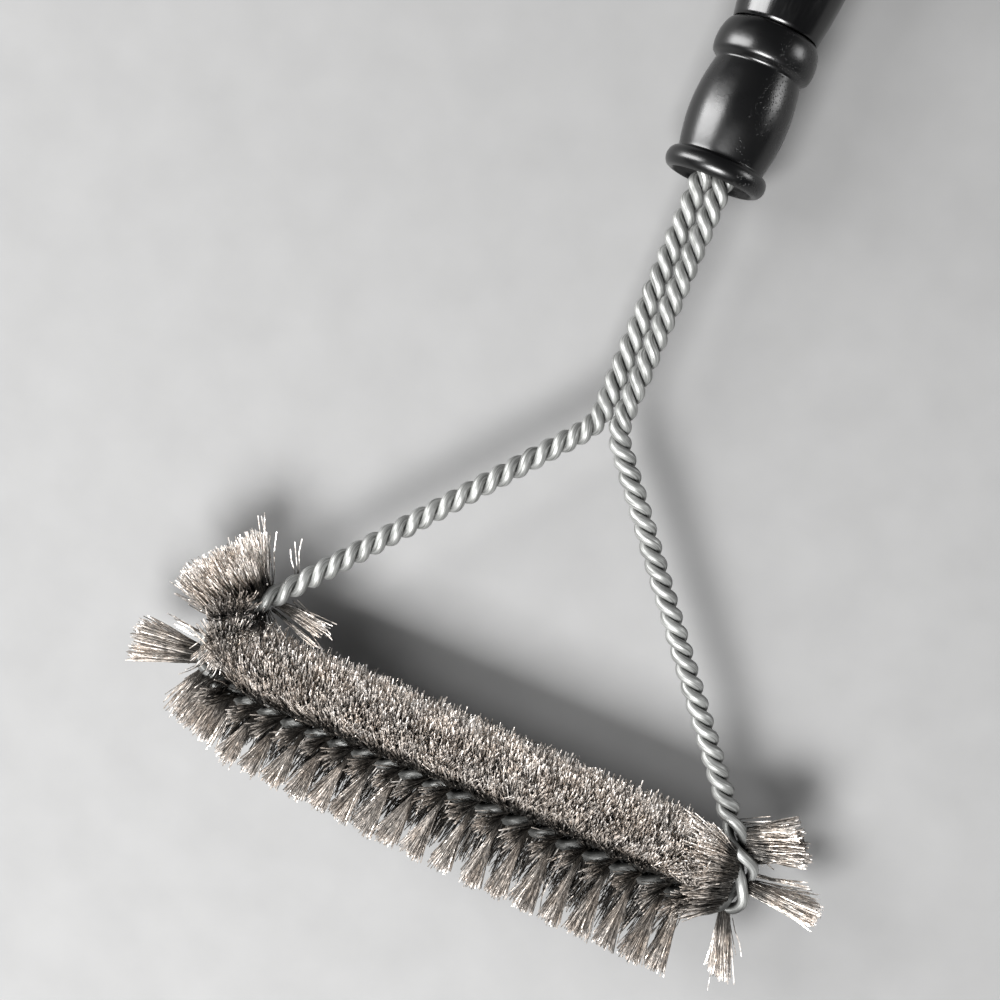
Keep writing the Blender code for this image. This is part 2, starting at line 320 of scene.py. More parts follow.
def wire_material():
    """Matt zinc-grey drawn steel: lines along it, grime plus painted shade by bristles and groove."""
    material, shader, add, link = new_material("zinc_wire")
    grain = add("ShaderNodeAttribute", attribute_name="grain")
    lines = add("ShaderNodeTexNoise", Scale=2.6, Detail=4.0, Roughness=0.6)
    link(grain.outputs["Vector"], lines.inputs["Vector"])
    place = add("ShaderNodeTexCoord")
    clouds = add("ShaderNodeTexNoise", Scale=90.0, Detail=3.0)
    link(place.outputs["Object"], clouds.inputs["Vector"])
    grime_and_shade = add("ShaderNodeAttribute", attribute_name="grime_and_shade")
    greys = [(0.36, (0.12, 0.122, 0.117)), (0.64, (0.36, 0.364, 0.354))]
    steel = ramp(add, link, lines.outputs["Fac"], greys)
    mottled = ramp(add, link, clouds.outputs["Fac"], [(0.3, 0.82), (0.7, 1.0)])
    # Grime with painted shade round the core, and painted shade in the groove between the strands.
    dirty_and_shaded = ramp(add, link, grime_and_shade.outputs["Fac"], [(0.0, 1.0), (1.0, (0.09, 0.089, 0.087))])
    colour = multiply(add, link, multiply(add, link, steel, mottled), dirty_and_shaded)
    link(colour, shader.inputs["Base Color"])
    rough = ramp(add, link, lines.outputs["Fac"], [(0.36, 0.58), (0.64, 0.42)])
    link(rough, shader.inputs["Roughness"])
    shader.inputs["Metallic"].default_value = 0.65
    bump(add, link, shader, lines.outputs["Fac"], 0.25, 0.06)
    return material


def bristle_material():
    """Fine crimped steel wire: dirt and painted shade at the root, and painted glints on the bends."""
    material, shader, add, link = new_material("bristle_wire")
    reach = add("ShaderNodeAttribute", attribute_name="reach")
    shade = add("ShaderNodeAttribute", attribute_name="shade")
    grain = add("ShaderNodeAttribute", attribute_name="grain")
    crimps = add("ShaderNodeTexNoise", Scale=0.75, Detail=1.0, Roughness=0.5)
    link(grain.outputs["Vector"], crimps.inputs["Vector"])
    # Darker towards the root with dirt and painted shade, lighter out to the tips.
    stops = [
        (0.0, (0.060, 0.057, 0.053)),
        (0.15, (0.12, 0.114, 0.106)),
        (0.3, (0.52, 0.49, 0.46)),
        (0.8, (0.82, 0.78, 0.74)),
        (1.0, (0.95, 0.91, 0.875)),
    ]
    colour = ramp(add, link, reach.outputs["Fac"], stops)
    tones = [(0.0, (0.14, 0.13, 0.12)), (0.5, (0.68, 0.66, 0.64)), (1.0, (1.35, 1.35, 1.35))]
    varied = multiply(add, link, colour, ramp(add, link, shade.outputs["Fac"], tones))
    # Painted glints: the colour brightens in dashes where the crimps would catch the light.
    painted_glints = ramp(add, link, crimps.outputs["Fac"], [(0.38, 0.34), (0.5, 0.85), (0.62, 1.7)])
    lit = multiply(add, link, varied, painted_glints)
    place = add("ShaderNodeTexCoord")
    patches = add("ShaderNodeTexNoise", Scale=170.0, Detail=2.0)
    link(place.outputs["Object"], patches.inputs["Vector"])
    warmth = [(0.4, (1.0, 0.955, 0.915)), (0.6, (1.0, 1.0, 1.0))]
    tint = ramp(add, link, patches.outputs["Fac"], warmth)
    rough = ramp(add, link, crimps.outputs["Fac"], [(0.38, 0.5), (0.62, 0.26)])
    link(multiply(add, link, lit, tint), shader.inputs["Base Color"])
    link(rough, shader.inputs["Roughness"])
    shader.inputs["Metallic"].default_value = 0.6
    return material


def plastic_material(name, colour, gloss, pitted, streaked):
    """Black moulded plastic: fine orange peel, pits on one side, or rubbed lines on the grip."""
    material, shader, add, link = new_material(name)
    place = add("ShaderNodeTexCoord")
    peel = add("ShaderNodeTexNoise", Scale=700.0, Detail=2.0, Roughness=0.5)
    link(place.outputs["Object"], peel.inputs["Vector"])
    stretch = add("ShaderNodeMapping")
    stretch.inputs["Scale"].default_value = (1.0, 0.06, 1.0)
    link(place.outputs["Object"], stretch.inputs["Vector"])
    rubs = add("ShaderNodeTexNoise", Scale=1500.0, Detail=3.0)
    link(stretch.outputs["Vector"], rubs.inputs["Vector"])
    smudge = add("ShaderNodeTexNoise", Scale=120.0, Detail=4.0)
    link(place.outputs["Object"], smudge.inputs["Vector"])
    dark = tuple(0.55 * c for c in colour)
    tint = ramp(add, link, smudge.outputs["Fac"], [(0.3, dark), (0.7, colour)])
    link(tint, shader.inputs["Base Color"])
    source = rubs if streaked else smudge
    rough = ramp(add, link, source.outputs["Fac"], [(0.3, gloss + 0.05), (0.7, gloss - 0.02)])
    link(rough, shader.inputs["Roughness"])
    shader.inputs["IOR"].default_value = 1.5
    height, strength = (rubs, 0.08) if streaked else (peel, 0.16)
    fine = bump(add, link, shader, height.outputs["Fac"], strength, 0.12)
    if pitted:
        deep = add("ShaderNodeBump", Strength=0.6, Distance=0.2 * MM)
        link(pit_height(add, link, place), deep.inputs["Height"])
        link(deep.outputs["Normal"], fine.inputs["Normal"])
    return material


def pit_height(add, link, place):
    """0 in small pits and 1 elsewhere. The pits lie in patches, on the handle's right side."""
    pits = add("ShaderNodeTexVoronoi", Scale=1500.0)
    link(place.outputs["Object"], pits.inputs["Vector"])
    patch = add("ShaderNodeTexNoise", Scale=110.0, Detail=2.0)
    link(place.outputs["Object"], patch.inputs["Vector"])
    hole = ramp(add, link, pits.outputs["Distance"], [(0.12, 0.0), (0.3, 1.0)])
    between = ramp(add, link, patch.outputs["Fac"], [(0.42, 1.0), (0.54, 0.0)])
    split = add("ShaderNodeSeparateXYZ")
    link(place.outputs["Object"], split.inputs[0])
    on_left = add("ShaderNodeMapRange")
    on_left.inputs["From Min"].default_value = 2 * MM
    on_left.inputs["From Max"].default_value = 6 * MM
    on_left.inputs["To Min"].default_value = 1.0
    on_left.inputs["To Max"].default_value = 0.0
    link(split.outputs["X"], on_left.inputs["Value"])
    smooth = add("ShaderNodeMath", operation="MAXIMUM")
    link(between, smooth.inputs[0])
    link(on_left.outputs[0], smooth.inputs[1])
    height = add("ShaderNodeMath", operation="MAXIMUM")
    link(hole, height.inputs[0])
    link(smooth.outputs[0], height.inputs[1])
    return height.outputs[0]


def steel_material(name, colour, gloss):
    """Plated or pressed steel with faint handling marks."""
    material, shader, add, link = new_material(name)
    place = add("ShaderNodeTexCoord")
    marks = add("ShaderNodeTexNoise", Scale=900.0, Detail=4.0)
    link(place.outputs["Object"], marks.inputs["Vector"])
    darker = tuple(0.8 * c for c in colour)
    tint = ramp(add, link, marks.outputs["Fac"], [(0.3, darker), (0.7, colour)])
    link(tint, shader.inputs["Base Color"])
    rough = ramp(add, link, marks.outputs["Fac"], [(0.3, gloss + 0.12), (0.7, gloss)])
    link(rough, shader.inputs["Roughness"])
    shader.inputs["Metallic"].default_value = 1.0
    bump(add, link, shader, marks.outputs["Fac"], 0.1, 0.05)
    return material


WIRE = wire_material()
BRISTLE = bristle_material()
NOSE_PLASTIC = plastic_material("nose_plastic", BLACK, 0.27, True, False)
GRIP_PLASTIC = plastic_material("grip_plastic", BLACK, 0.2, False, True)
CORE_PLASTIC = plastic_material("core_plastic", (0.03, 0.03, 0.032), 0.5, False, False)
FERRULE_STEEL = steel_material("ferrule_steel", (0.55, 0.55, 0.54), 0.32)
RING_STEEL = steel_material("ring_steel", (0.72, 0.72, 0.71), 0.16)

# Pieces


def new_piece(name, points, faces, material, replaces, smooth=True, body="brush"):
    """A mesh from layout points, riding on its body and standing for the CAD nodes it replaces."""
    points = np.asarray(points, float) @ TO_FRAME[:3, :3].T + TO_FRAME[:3, 3]
    mesh = bpy.data.meshes.new(name)
    mesh.from_pydata(points.tolist(), [], [list(map(int, face)) for face in faces])
    mesh.materials.append(material)
    mesh.polygons.foreach_set("use_smooth", np.full(len(mesh.polygons), smooth))
    mesh.update()
    piece = bpy.data.objects.new(name, mesh)
    bpy.context.scene.collection.objects.link(piece)
    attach(piece, body)
    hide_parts(*replaces)
    return piece


def add_attribute(piece, name, values, kind="FLOAT"):
    """A value or a vector for each point, which the piece's material reads."""
    attribute = piece.data.attributes.new(name, kind, "POINT")
    field = "value" if kind == "FLOAT" else "vector"
    attribute.data.foreach_set(field, np.asarray(values, np.float32).ravel())


# Wire


def centre_line():
    """The wire's middle in the plane of the head, from the left stem's end to the right one's."""
    marks = np.array([(-STEM_X, STEM_END_Y), *(mark for mark, _ in ROUTE), (STEM_X, STEM_END_Y)])
    line = []
    start = marks[0]
    for before, corner, after, (_, radius) in zip(marks, marks[1:], marks[2:], ROUTE):
        back = (before - corner) / np.linalg.norm(before - corner)
        away = (after - corner) / np.linalg.norm(after - corner)
        half = math.acos(back @ away) / 2
        middle = (back + away) / np.linalg.norm(back + away)
        centre = corner + middle * radius / math.sin(half)
        first = corner + back * radius / math.tan(half)
        last = corner + away * radius / math.tan(half)
        line += straight(start, first) + bend(centre, first, last)
        start = last
    return np.array(line + straight(start, marks[-1]) + [marks[-1]])


def straight(first, last):
    """Points from first up to last, without last, LINE_STEP apart."""
    count = max(1, round(float(np.linalg.norm(last - first)) / LINE_STEP))
    return [first + (last - first) * i / count for i in range(count)]


def bend(centre, first, last):
    """Points on the arc round centre from first up to last, without last."""
    spoke, end = first - centre, last - centre
    turn = math.atan2(spoke[0] * end[1] - spoke[1] * end[0], spoke @ end)
    count = max(2, round(abs(turn) * float(np.linalg.norm(spoke)) / LINE_STEP))
    points = []
    for i in range(count):
        angle = turn * i / count
        cos, sin = math.cos(angle), math.sin(angle)
        points.append(centre + (cos * spoke[0] - sin * spoke[1], sin * spoke[0] + cos * spoke[1]))
    return points


def strand_points(phase):
    """One strand's middle: a left-handed helix round the centre line, a point every LAY_STEP."""
    line = centre_line()
    along = np.concatenate([[0], np.cumsum(np.linalg.norm(np.diff(line, axis=0), axis=1))])
    places = [along[np.argmin(np.linalg.norm(line - mark, axis=1))] for mark, _ in LAY_MARKS]
    turns = [half_turns for _, half_turns in LAY_MARKS]
    marks = np.arange(turns[0], turns[-1], LAY_STEP / math.pi)
    here = np.interp(marks, turns, places)
    centres = np.stack([np.interp(here, along, line[:, i]) for i in (0, 1)], 1)
    ahead = np.stack([np.interp(here + LINE_STEP, along, line[:, i]) for i in (0, 1)], 1)
    heading = ahead - centres
    heading[-1] = heading[-2]
    heading /= np.linalg.norm(heading, axis=1)[:, None]
    side = np.stack([-heading[:, 1], heading[:, 0], np.zeros(len(marks))], 1)
    radius = np.interp(marks, *zip(*LAY_RADII))
    angle = phase - math.pi * marks
    points = np.pad(centres, ((0, 0), (0, 1)))
    points += (radius * np.cos(angle))[:, None] * side
    lifted = ease(centres[:, 1], *LIFT_BEGINS) * (1 - ease(centres[:, 1], *LIFT_ENDS))
    points[:, 2] += radius * np.sin(angle) + STEM_LIFT * np.sign(centres[:, 0]) * lifted
    return points


def ease(value, start, end):
    """0 before start and 1 after end, smooth in between."""
    share = np.clip((value - start) / (end - start), 0, 1)
    return share * share * (3 - 2 * share)


def sweep(points, radius, sides, closed=False):
    """A round tube along points: (vertices, faces, grain), with grain stretched along the tube.

    radius is one number, or one for each point.
    """
    ahead = np.roll(points, -1, 0) - points
    behind = points - np.roll(points, 1, 0)
    if not closed:
        ahead[-1], behind[0] = behind[-1], ahead[0]
    tangents = ahead + behind
    tangents /= np.linalg.norm(tangents, axis=1)[:, None]
    side = np.cross(tangents[0], (0.0, 0.0, 1.0))
    if np.linalg.norm(side) < 0.1:
        side = np.cross(tangents[0], (1.0, 0.0, 0.0))
    angles = 2 * math.pi * np.arange(sides) / sides
    cos, sin = np.cos(angles)[:, None], np.sin(angles)[:, None]
    lengths = np.linalg.norm(np.diff(points, axis=0), axis=1)
    along = np.concatenate([[0], np.cumsum(lengths)])
    rings, grain = [], []
    radii = np.broadcast_to(radius, len(points))
    for point, tangent, place, reach in zip(points, tangents, along, radii):
        side = side - tangent * (side @ tangent)
        side /= np.linalg.norm(side)
        other = np.cross(tangent, side)
        rings.append(point + reach * (cos * side + sin * other))
        stretched = np.full((sides, 1), place * GRAIN_STRETCH)
        grain.append(np.hstack([reach * cos, reach * sin, stretched]))
    vertices = np.concatenate(rings)
    count = len(points)
    spans = count if closed else count - 1
    faces = []
    for i in range(spans):
        here, there = i * sides, (i + 1) % count * sides
        for j in range(sides):
            k = (j + 1) % sides
            faces.append((here + j, here + k, there + k, there + j))
    if not closed:
        faces.append(tuple(reversed(range(sides))))
        faces.append(tuple(range(vertices.shape[0] - sides, vertices.shape[0])))
    return vertices, faces, np.concatenate(grain)


def make_wire():
    """Both strands: grime and painted shade where they hold bristles, painted shade in their groove."""
    routes = {"a": strand_points(0.0), "b": strand_points(math.pi)}
    for letter, other in (("a", "b"), ("b", "a")):
        route = routes[letter]
        points, faces, grain = sweep(route, STRAND_RADIUS, STRAND_SIDES)
        node = f"wire_strand_{letter}"
        piece = new_piece(f"strand_{letter}", points, faces, WIRE, [node])
        towards = np.repeat(unit(routes[other] - route), STRAND_SIDES, 0)
        spokes = unit(points - np.repeat(route, STRAND_SIDES, 0))
        # Painted shade in the groove, and grime with painted shade low on the wire round the core.
        groove_shade = ease((spokes * towards).sum(1), *GROOVE_SHADE)
        on_left = 1 - ease(points[:, 1], *LEFT_SOOT_AND_SHADE_Y)
        on_right = 1 - ease(points[:, 1], *RIGHT_SOOT_AND_SHADE_Y)
        on_right *= 1 - ease(points[:, 0], *LOOP_X)
        heavy = HEAVY_SOOT_AND_SHADE * (1 - ease(points[:, 1], *HEAVY_SOOT_AND_SHADE_Y))
        soot_and_shade = CORE_SOOT_AND_SHADE * np.where(points[:, 0] < 0, on_left, np.maximum(on_right, heavy))
        add_attribute(piece, "grain", grain, "FLOAT_VECTOR")
        add_attribute(piece, "grime_and_shade", np.maximum(groove_shade, soot_and_shade))


# Bristles


def unit(vectors):
    """The vectors at length 1."""
    return vectors / np.linalg.norm(vectors, axis=-1, keepdims=True)


def bristles(name, node, sprays, seed):
    """Many fine wires in one piece, each a closed three-sided prism with a slight crimp."""
    random = np.random.default_rng(RANDOM_SEED + seed)
    groups = [spray(random, *settings) for settings in sprays]
    roots, headings, lengths, shades, clean_and_lit_tips = (np.concatenate(parts) for parts in zip(*groups))
    count = len(roots)
    across = unit(np.cross(headings, random.normal(size=(count, 3))))
    other = np.cross(headings, across)
    steps = np.linspace(0, 1, BRISTLE_SPANS + 1)
    bow = random.normal(0, BOW, count)
    crimp = random.uniform(0.0, CRIMP, count)
    rings = []
    for i, step in enumerate(steps):
        middle = roots + headings * (lengths * step)[:, None]
        middle += across * (lengths * bow * step * step)[:, None]
        middle += other * (crimp * (-1) ** i * min(1, i))[:, None]
        rings.append(middle)
    corners = []
    for turn in range(3):
        angle = 2 * math.pi * turn / 3
        corners.append(BRISTLE_RADIUS * (math.cos(angle) * across + math.sin(angle) * other))
    points = np.stack([ring + corner for ring in rings for corner in corners], 1)
    size = 3 * len(steps)
    faces = [(0, 2, 1), (size - 3, size - 2, size - 1)]
    for i in range(BRISTLE_SPANS):
        for j in range(3):
            k = (j + 1) % 3
            faces.append((3 * i + j, 3 * i + k, 3 * i + 3 + k, 3 * i + 3 + j))
    piece_faces = []
    for first in range(0, count * size, size):
        piece_faces += [tuple(first + corner for corner in face) for face in faces]
    points = points.reshape(-1, 3)
    piece = new_piece(name, points, piece_faces, BRISTLE, [node], smooth=False)
    step = np.tile(np.repeat(steps, 3), count)
    flat = step * np.repeat(lengths * np.hypot(headings[:, 0], headings[:, 1]), size)
    # Darker near the core with dirt and painted shade, and more so for tips less clean and lit.
    reach = step * ease(flat, *GRIME_AND_SHADE_REACH) * np.repeat(clean_and_lit_tips, size)
    grain = np.zeros((count * size, 3))
    grain[:, 0] = step * np.repeat(lengths, size)
    grain[:, 1] = np.repeat(random.uniform(0, 400, count), size)
    add_attribute(piece, "reach", reach)
    add_attribute(piece, "shade", np.repeat(shades, size))
    add_attribute(piece, "grain", grain, "FLOAT_VECTOR")


def spray(random, count, first, last, aims, spread, tilt, reach, shade, clean_and_lit=1.0):
    """Bristles rooted along first-last: (roots, headings, lengths, shades, how clean and lit the tips are).

    They are aimed by angles in the head's plane, in degrees, from one end of the line to the other,
    and tilted out of that plane. tilt, reach and shade are the lowest and highest values. Tips that
    are less clean and lit are darker, with dirt and painted shade.
    """
    share = random.uniform(0, 1, count)
    tilted = random.uniform(0, 1, count)
    lock = (share * LOCKS_ALONG).astype(int) * LOCKS_UP + (tilted * LOCKS_UP).astype(int)
    first, last = np.array(first, float), np.array(last, float)
    roots = np.zeros((count, 3))
    roots[:, : len(first)] = first + (last - first) * share[:, None]
    aim = aims[0] + (aims[1] - aims[0]) * share
    aim += random.normal(0, spread, count) + random.normal(0, LOCK_LEAN * spread, LOCKS)[lock]
    aim = np.radians(aim)
    rise = np.radians(tilt[0] + (tilt[1] - tilt[0]) * tilted)
    headings = np.stack([np.cos(rise) * np.cos(aim), np.cos(rise) * np.sin(aim), np.sin(rise)], 1)
    roots += headings * random.uniform(*ROOT_GAP, count)[:, None]
    lengths = random.uniform(*reach, count) + random.normal(0, LOCK_LENGTH, LOCKS)[lock]
    sink = np.maximum(-headings[:, 2], 0.05)
    lengths = np.minimum(lengths, (UNDER_LENGTH - FLOOR_GAP + roots[:, 2]) / sink)
    # Bristles that rise out of the head's plane are up to half darker: painted shade.
    shades = random.uniform(*shade, count) * (1 - 0.5 * np.maximum(headings[:, 2], 0))
    shades *= random.uniform(*LOCK_SHADES, LOCKS)[lock]
    return roots, headings, lengths, shades, np.full(count, clean_and_lit)


def make_crossbar():
    """Each half turn: wings above and below the core, and short locks pushed over its strands."""
    for i in range(TUFTS):
        on_left = i < LEFT_TUFTS
        first, pitch = LEFT_TUFT if on_left else RIGHT_TUFT
        middle = first + pitch * (i if on_left else i - LEFT_TUFTS)
        fan_shade = LEFT_FAN_SHADE if on_left else RIGHT_FAN_SHADE
        sprays = crossbar_sprays(middle, pitch, fan_shade)
        bristles(f"tuft_{i + 1:02d}", f"bristle_tuft_{i + 1:02d}", sprays, i)


def crossbar_sprays(middle, pitch, fan_shade):
    """One clump's sprays: upper wing, under it, front fan, under that, and locks over the core."""
    lean = LEFT_LEAN * (1 - float(ease(middle, *LEAN_ENDS)))
    pinch = middle + 2.0
    start, end = middle - 0.5 * pitch, middle + 0.5 * pitch
    low = float(np.interp(middle, *FAN_LENGTHS))
    core = ((start, CORE_Y), (end, CORE_Y))
    over = ((end - 0.8, CORE_Y - 0.9, 1.4), (end + 0.8, CORE_Y + 0.6, 1.4))
    fan = ((pinch + 1.9, FAN_Y), (pinch - 0.4, FAN_Y))
    fan_aims = (255 + 0.6 * lean, 275 + lean / 3)
    under_aims = (262 + lean / 2, 268 + lean / 2)
    return [
        (200, *core, (101, 101), 6, (2, 30), (17.6, 19.4), (0.5, 1.35)),
        (170, *core, (96, 96), 10, (28, 64), (16.8, 19.2), (0.5, 1.35)),
        # Painted shade: the short third spray darkens the nap by the core, and the fourth and sixth, under the
        # wing and under the fan, are kept dark where they lie in shadow.
        (70, *core, (98, 98), 9, (48, 72), (11.0, 15.0), (0.3, 0.95), 0.45),
        (120, *core, (102, 102), 7, (-85, 2), (17.0, 19.0), (0.0, 0.7)),
        (210, *fan, fan_aims, 1.6, (0, 26), (low - 1.0, low + 0.6), (0.0, fan_shade)),
        (200, *core, under_aims, 6, (-85, -4), (low - 2.6, low - 0.4), (0.0, 0.3), 0.22),
        (50, *over, (230, 206), 7, (16, 52), (5.5, 9.5), (0.35, 0.95), 0.42),
        (36, *over, (132, 102), 6, (34, 66), (6.5, 9.5), (0.35, 1.0), 0.38),
    ]


# The corner pieces: (name, CAD node, seed, sprays). A spray is (count, its root line's two ends,
# aims there, spread, tilts, lengths, shades) and, where it isn't 1, how clean and lit its tips are,
# which darkens them with dirt and painted shade. Sprays tilted under the head with shades from 0
# are kept dark: painted shade where they lie in shadow.
CORNERS = (
    (
        "left_arm_fan",
        "left_arm_bristles",
        200,
        (
            (340, (-64.5, -78.5, -1.5), (-74.5, -90.5, -1), (123, 151), 4,
             (-30, 14), (15.0, 16.8), (0.5, 1.25)),
            (240, (-69.5, -84), (-74.5, -90.5), (132, 150), 6, (14, 46), (14.5, 16.6), (0.4, 1.15)),
            (4, (-64, -79, -2), (-66, -81, -2), (120, 116), 1.5, (0, 8), (21, 22.5), (0.7, 1.0)),
            (3, (-58, -73, -2), (-60, -75, -2), (112, 126), 5, (-8, 5), (9, 12), (0.7, 1.0)),
            (30, (-62, -79), (-64, -82), (1, -13), 3.5, (0, 25), (13, 17), (0.4, 1.0)),
            (3, (-59, -76), (-60, -77), (-18, -30), 4, (5, 15), (12, 15), (0.5, 0.9)),
            (170, (-65.5, -80), (-70, -86), (118, 140), 6, (12, 50), (12.5, 15.5), (0.5, 1.25)),
            (170, (-69, -86), (-74, -91), (66, 120), 12, (45, 80), (12, 16), (0.2, 0.9)),
            (200, (-66, -82), (-74, -91), (140, 172), 9, (-75, -30), (10, 14), (0.0, 0.5)),
            (330, (-64.5, -81.5), (-72, -90), (-62, -104), 13, (14, 78), (10, 15), (0.2, 1.0)),
        ),
    ),
    (
        "left_corner_fan",
        "left_corner_bristles",
        210,
        (
            (290, (-75.5, -98.5), (-75, -103), (180, 196), 2.2,
             (-20, 20), (16.2, 18.0), (0.1, 0.85)),
            (8, (-76, -95), (-76, -97), (170, 176), 2, (-5, 15), (8, 11), (0.2, 0.7)),
            (340, (-74, -102), (-62, CORE_Y), (250, 260), 4, (-25, 28), (13.2, 15.4), (0.0, 0.65)),
            (230, (-72, -98), (-62, CORE_Y), (98, 102), 8, (6, 34), (15, 18.5), (0.4, 1.2)),
            (200, (-72, -98), (-62, CORE_Y), (96, 100), 14, (30, 70), (14, 17.5), (0.3, 1.2)),
            (140, (-66, -101), (-57, -103), (90, 97), 7, (2, 30), (15.2, 18.0), (0.4, 1.2)),
            (240, (-73, -100), (-62, CORE_Y), (240, 262), 6, (-80, -20), (12.5, 15), (0.0, 0.5)),
            (60, (-66, -104, 1.4), (-61, CORE_Y, 1.4), (235, 200), 9,
             (16, 60), (7, 11), (0.3, 1.0), 0.36),
            (24, (-73, -99, 1.4), (-66, -104, 1.4), (225, 260), 10,
             (20, 60), (5, 9), (0.3, 1.0), 0.36),
        ),
    ),
    (
        "right_arm_fan",
        "right_arm_bristles",
        220,
        (
            (360, (71.5, -87), (77.5, -92.5), (33, 21), 2.5, (-26, 26), (13.6, 15.4), (0.05, 0.75)),
            (7, (70, -84), (73, -87), (14, 34), 8, (0, 20), (6, 10), (0.3, 0.9)),
            (250, (75, -91, 1.5), (77.5, -98, 1.5), (166, 188), 7, (12, 46), (13, 20), (0.6, 1.35)),
            (150, (76, -95), (77.5, -105), (178, 214), 6, (-35, -4), (9, 14), (0.0, 0.35)),
            (170, (76.5, -98, 2.2), (77.3, -107, 2.2), (188, 200), 7,
             (8, 30), (8, 14), (0.3, 1.0), 0.45),
            (180, (72, -88), (78, -95), (-30, 40), 10, (-75, -30), (12, 15), (0.0, 0.5)),
        ),
    ),
    (
        "right_corner_fan",
        "right_corner_bristles",
        230,
        (
            (260, (79.5, -97.5), (79.5, -101.0), (4.5, -2.5), 1.8,
             (-18, 18), (17.0, 19.2), (0.25, 1.0)),
            (12, (80, -95.5), (80, -96.5), (9, 13), 1.5, (-5, 12), (12, 14), (0.6, 1.0)),
            (340, (75.8, -107), (78.8, -107.5), (-76, -67), 1.6,
             (-18, 20), (14.8, 17.0), (0.1, 0.85)),
            (4, (78, -108), (79.5, -108), (-60, -56), 3, (-5, 10), (8, 12), (0.6, 1.0)),
            (1, (77, -108), (77.5, -108), (-80, -80), 1, (0, 2), (20, 21), (0.7, 1.0)),
            (170, (61.5, CORE_Y), (66.5, CORE_Y), (99, 97), 6, (8, 36), (16, 18.5), (0.4, 1.2)),
            (150, (62, CORE_Y), (69, CORE_Y), (110, 130), 12, (30, 66), (14, 17), (0.3, 1.2)),
            (200, (67.0, -107.4), (65.2, -107.4), (262, 276), 2,
             (-4, 24), (18.6, 20.2), (0.0, 0.6)),
            (160, (62, CORE_Y), (68, -106.6), (262, 272), 6, (-80, -15), (16, 19), (0.0, 0.45)),
            (70, (66, CORE_Y, 1.4), (72, CORE_Y, 1.4), (232, 200), 9,
             (16, 56), (6, 10), (0.3, 1.0), 0.36),
        ),
    ),
)


def make_corners():
    """The fans on the arms' last stretch and round the two corners."""
    for name, node, seed, sprays in CORNERS:
        bristles(name, node, sprays, seed)


# Handle


def turned(profile, sides, capped=False):
    """Turns a (radius, distance along) profile about the handle's axis, with the flash line.

    The profile is closed on itself, or is open and gets a flat face at each end.
    """
    angles = 2 * math.pi * np.arange(sides) / sides
    count = len(profile)
    points = []
    for radius, along in profile:
        reach = radius + flash_line(angles, radius)
        place = np.full(sides, HANDLE_Y + along)
        points.append(np.stack([reach * np.sin(angles), place, reach * np.cos(angles)], 1))
    faces = []
    for i in range(count - 1 if capped else count):
        here, there = i * sides, (i + 1) % count * sides
        for j in range(sides):
            k = (j + 1) % sides
            faces.append((here + j, here + k, there + k, there + j))
    if capped:
        faces.append(tuple(reversed(range(sides))))
        faces.append(tuple(range((count - 1) * sides, count * sides)))
    return np.concatenate(points), faces


def smooth_profile(marks, per_span):
    """Catmull-Rom points through the marks, ends included."""
    marks = np.array(marks, float)
    padded = np.vstack([2 * marks[0] - marks[1], marks, 2 * marks[-1] - marks[-2]])
    points = []
    for a, b, c, d in zip(padded, padded[1:], padded[2:], padded[3:]):
        bends = (2 * b, c - a, 2 * a - 5 * b + 4 * c - d, 3 * b - a - 3 * c + d)
        for i in range(per_span):
            t = i / per_span
            points.append(0.5 * (bends[0] + bends[1] * t + bends[2] * t**2 + bends[3] * t**3))
    return [tuple(p) for p in points] + [tuple(marks[-1])]


def flash_line(angles, radius):
    """The mould's parting line: a hair-thin ridge on each side of the handle's outer surface."""
    if radius < OUTSIDE_RADIUS:
        return 0
    return FLASH_HEIGHT * np.exp(-((np.sin(angles - FLASH_ANGLE) / FLASH_WIDTH) ** 2))


def make_nose():
    """The lip ring, barrel and bead in one moulding, hollow behind the lip."""
    outside = smooth_profile(LIP, 5) + smooth_profile(BARREL, 6) + smooth_profile(BEAD, 5)
    points, faces = turned(outside + list(NOSE_INSIDE), NOSE_SIDES)
    new_piece("nose", points, faces, NOSE_PLASTIC, ["handle_nose"])


def make_grip():
    """The glossy grip, a sleeve that starts behind the bead."""
    points, faces = turned(smooth_profile(GRIP, 6) + list(GRIP_INSIDE), GRIP_SIDES)
    new_piece("grip", points, faces, GRIP_PLASTIC, ["grip_sleeve"])


def make_cap():
    """The domed cap, and the eye that the hanging ring goes through."""
    profile = list(SPIGOT) + smooth_profile(DOME, 6)
    profile = [(radius, CAP_START + along) for radius, along in profile]
    points, faces = turned(profile, CAP_SIDES, capped=True)
    eye_points, eye_faces = eye_plate()
    faces += [tuple(len(points) + corner for corner in face) for face in eye_faces]
    points = np.concatenate([points, eye_points])
    new_piece("cap", points, faces, NOSE_PLASTIC, ["butt_cap"])


def eye_plate():
    """A rounded wall round the eye's hole, whose root runs into the dome."""
    outer = CAP_BOX[1][1] - HINGE[1]
    points = []
    for i in range(EYE_STEPS):
        angle = 2 * math.pi * i / EYE_STEPS
        spoke = np.array([0.0, math.sin(angle), math.cos(angle)])
        reach = outer
        if spoke[1] < 0:
            reach = 1 / max(abs(spoke[2]) / outer, abs(spoke[1]) / EYE_ROOT)
        for radius, out, side in wall_outline(reach):
            points.append(HINGE + spoke * (radius + out) + np.array([side, 0.0, 0.0]))
    ring = len(points) // EYE_STEPS
    faces = []
    for i in range(EYE_STEPS):
        here, there = i * ring, (i + 1) % EYE_STEPS * ring
        for j in range(ring):
            k = (j + 1) % ring
            faces.append((here + j, here + k, there + k, there + j))
    return np.array(points), faces


